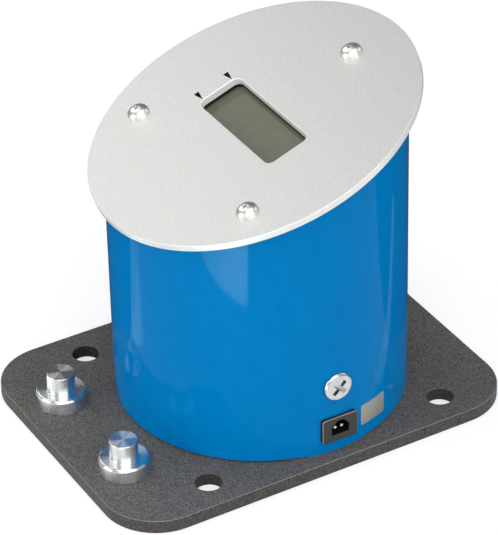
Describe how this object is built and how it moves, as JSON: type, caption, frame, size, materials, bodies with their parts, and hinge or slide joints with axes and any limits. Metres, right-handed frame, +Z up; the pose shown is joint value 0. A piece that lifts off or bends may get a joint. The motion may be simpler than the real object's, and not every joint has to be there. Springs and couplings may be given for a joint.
{
  "type": "torque tester",
  "caption": "Bench torque tester: measuring shaft with a square socket in the left side, round hood with a sloping display face, and a flat bolt-down base plate.",
  "frame": {"origin": "middle of the base plate's underside, which is also the bottom centre of the whole object", "axes": "+Z up; -Y towards the user, where the low side of the display face and the adapter posts are; -X is the left side with the square socket; +X is the right side with the power inlet"},
  "size_m": [0.132, 0.1784, 0.1519],
  "materials": {
    "plate_coat": "dark grey powder coat with a fine sandy texture",
    "turned_aluminium": "bright turned",
    "zinc_steel": "zinc plated",
    "polished_steel": "polished stainless steel",
    "black_steel": "black oxide",
    "block_steel": "machined and oiled",
    "shaft_steel": "ground alloy steel",
    "bush_bronze": "turned bronze",
    "gauge_film": "amber film with foil grid",
    "board_green": "solder resist",
    "hood_blue": "gloss blue stove enamel",
    "face_silver": "satin anodised front, bright milled edge",
    "bezel_black": "moulded",
    "display_glass": "polarised grey-green glass",
    "display_reflector": "satin film",
    "strip_rubber": "silicone",
    "spacer_brass": "turned hexagon bar",
    "chip_black": "moulded epoxy",
    "capacitor_sleeve": "shrunk sleeve",
    "header_ivory": "moulded nylon",
    "inlet_grey": "moulded",
    "contact_plate": "tin plated",
    "lead_black": "extruded sheath",
    "lead_grey": "extruded sheath",
    "label_foil": "matt foil"
  },
  "bodies": {
    "tester": {"base_plate": "plate_coat", "left_adapter_post": "turned_aluminium", "right_adapter_post": "turned_aluminium", "post_screws": "zinc_steel", "bearing_block": "block_steel", "reaction_block": "block_steel", "block_screws": "zinc_steel", "measuring_flange": "shaft_steel", "flange_screws": "black_steel", "flange_washers": "zinc_steel", "measuring_neck": "shaft_steel", "strain_gauges": "gauge_film", "gauge_terminal": "board_green", "hub_bush": "bush_bronze", "hood": "hood_blue", "face_lugs": "hood_blue", "hood_screws": "zinc_steel", "face_plate": "face_silver", "face_screws": "polished_steel", "lcd_bezel": "bezel_black", "lcd_front_glass": "display_glass", "lcd_rear_glass": "display_glass", "lcd_reflector": "display_reflector", "contact_strips": "strip_rubber", "display_board": "board_green", "board_spacers": "spacer_brass", "board_screws": "zinc_steel", "processor_chip": "chip_black", "amplifier_chips": "chip_black", "smoothing_capacitors": "capacitor_sleeve", "voltage_regulator": "chip_black", "lead_headers": "header_ivory", "power_inlet": "inlet_grey", "inlet_contacts": "contact_plate", "power_lead": "lead_black", "gauge_lead": "lead_grey", "rating_label": "label_foil"},
    "hub": {"drive_hub": "shaft_steel"}
  },
  "joints": [
    {"name": "hub_twist", "type": "hinge", "parent": "tester", "child": "hub", "pos_m": [-0.0354, 0.006, 0.037], "axis": [1, 0, 0], "range_deg": [-0.4, 0.4], "stiffness_Nm_per_rad": 5}
  ]
}
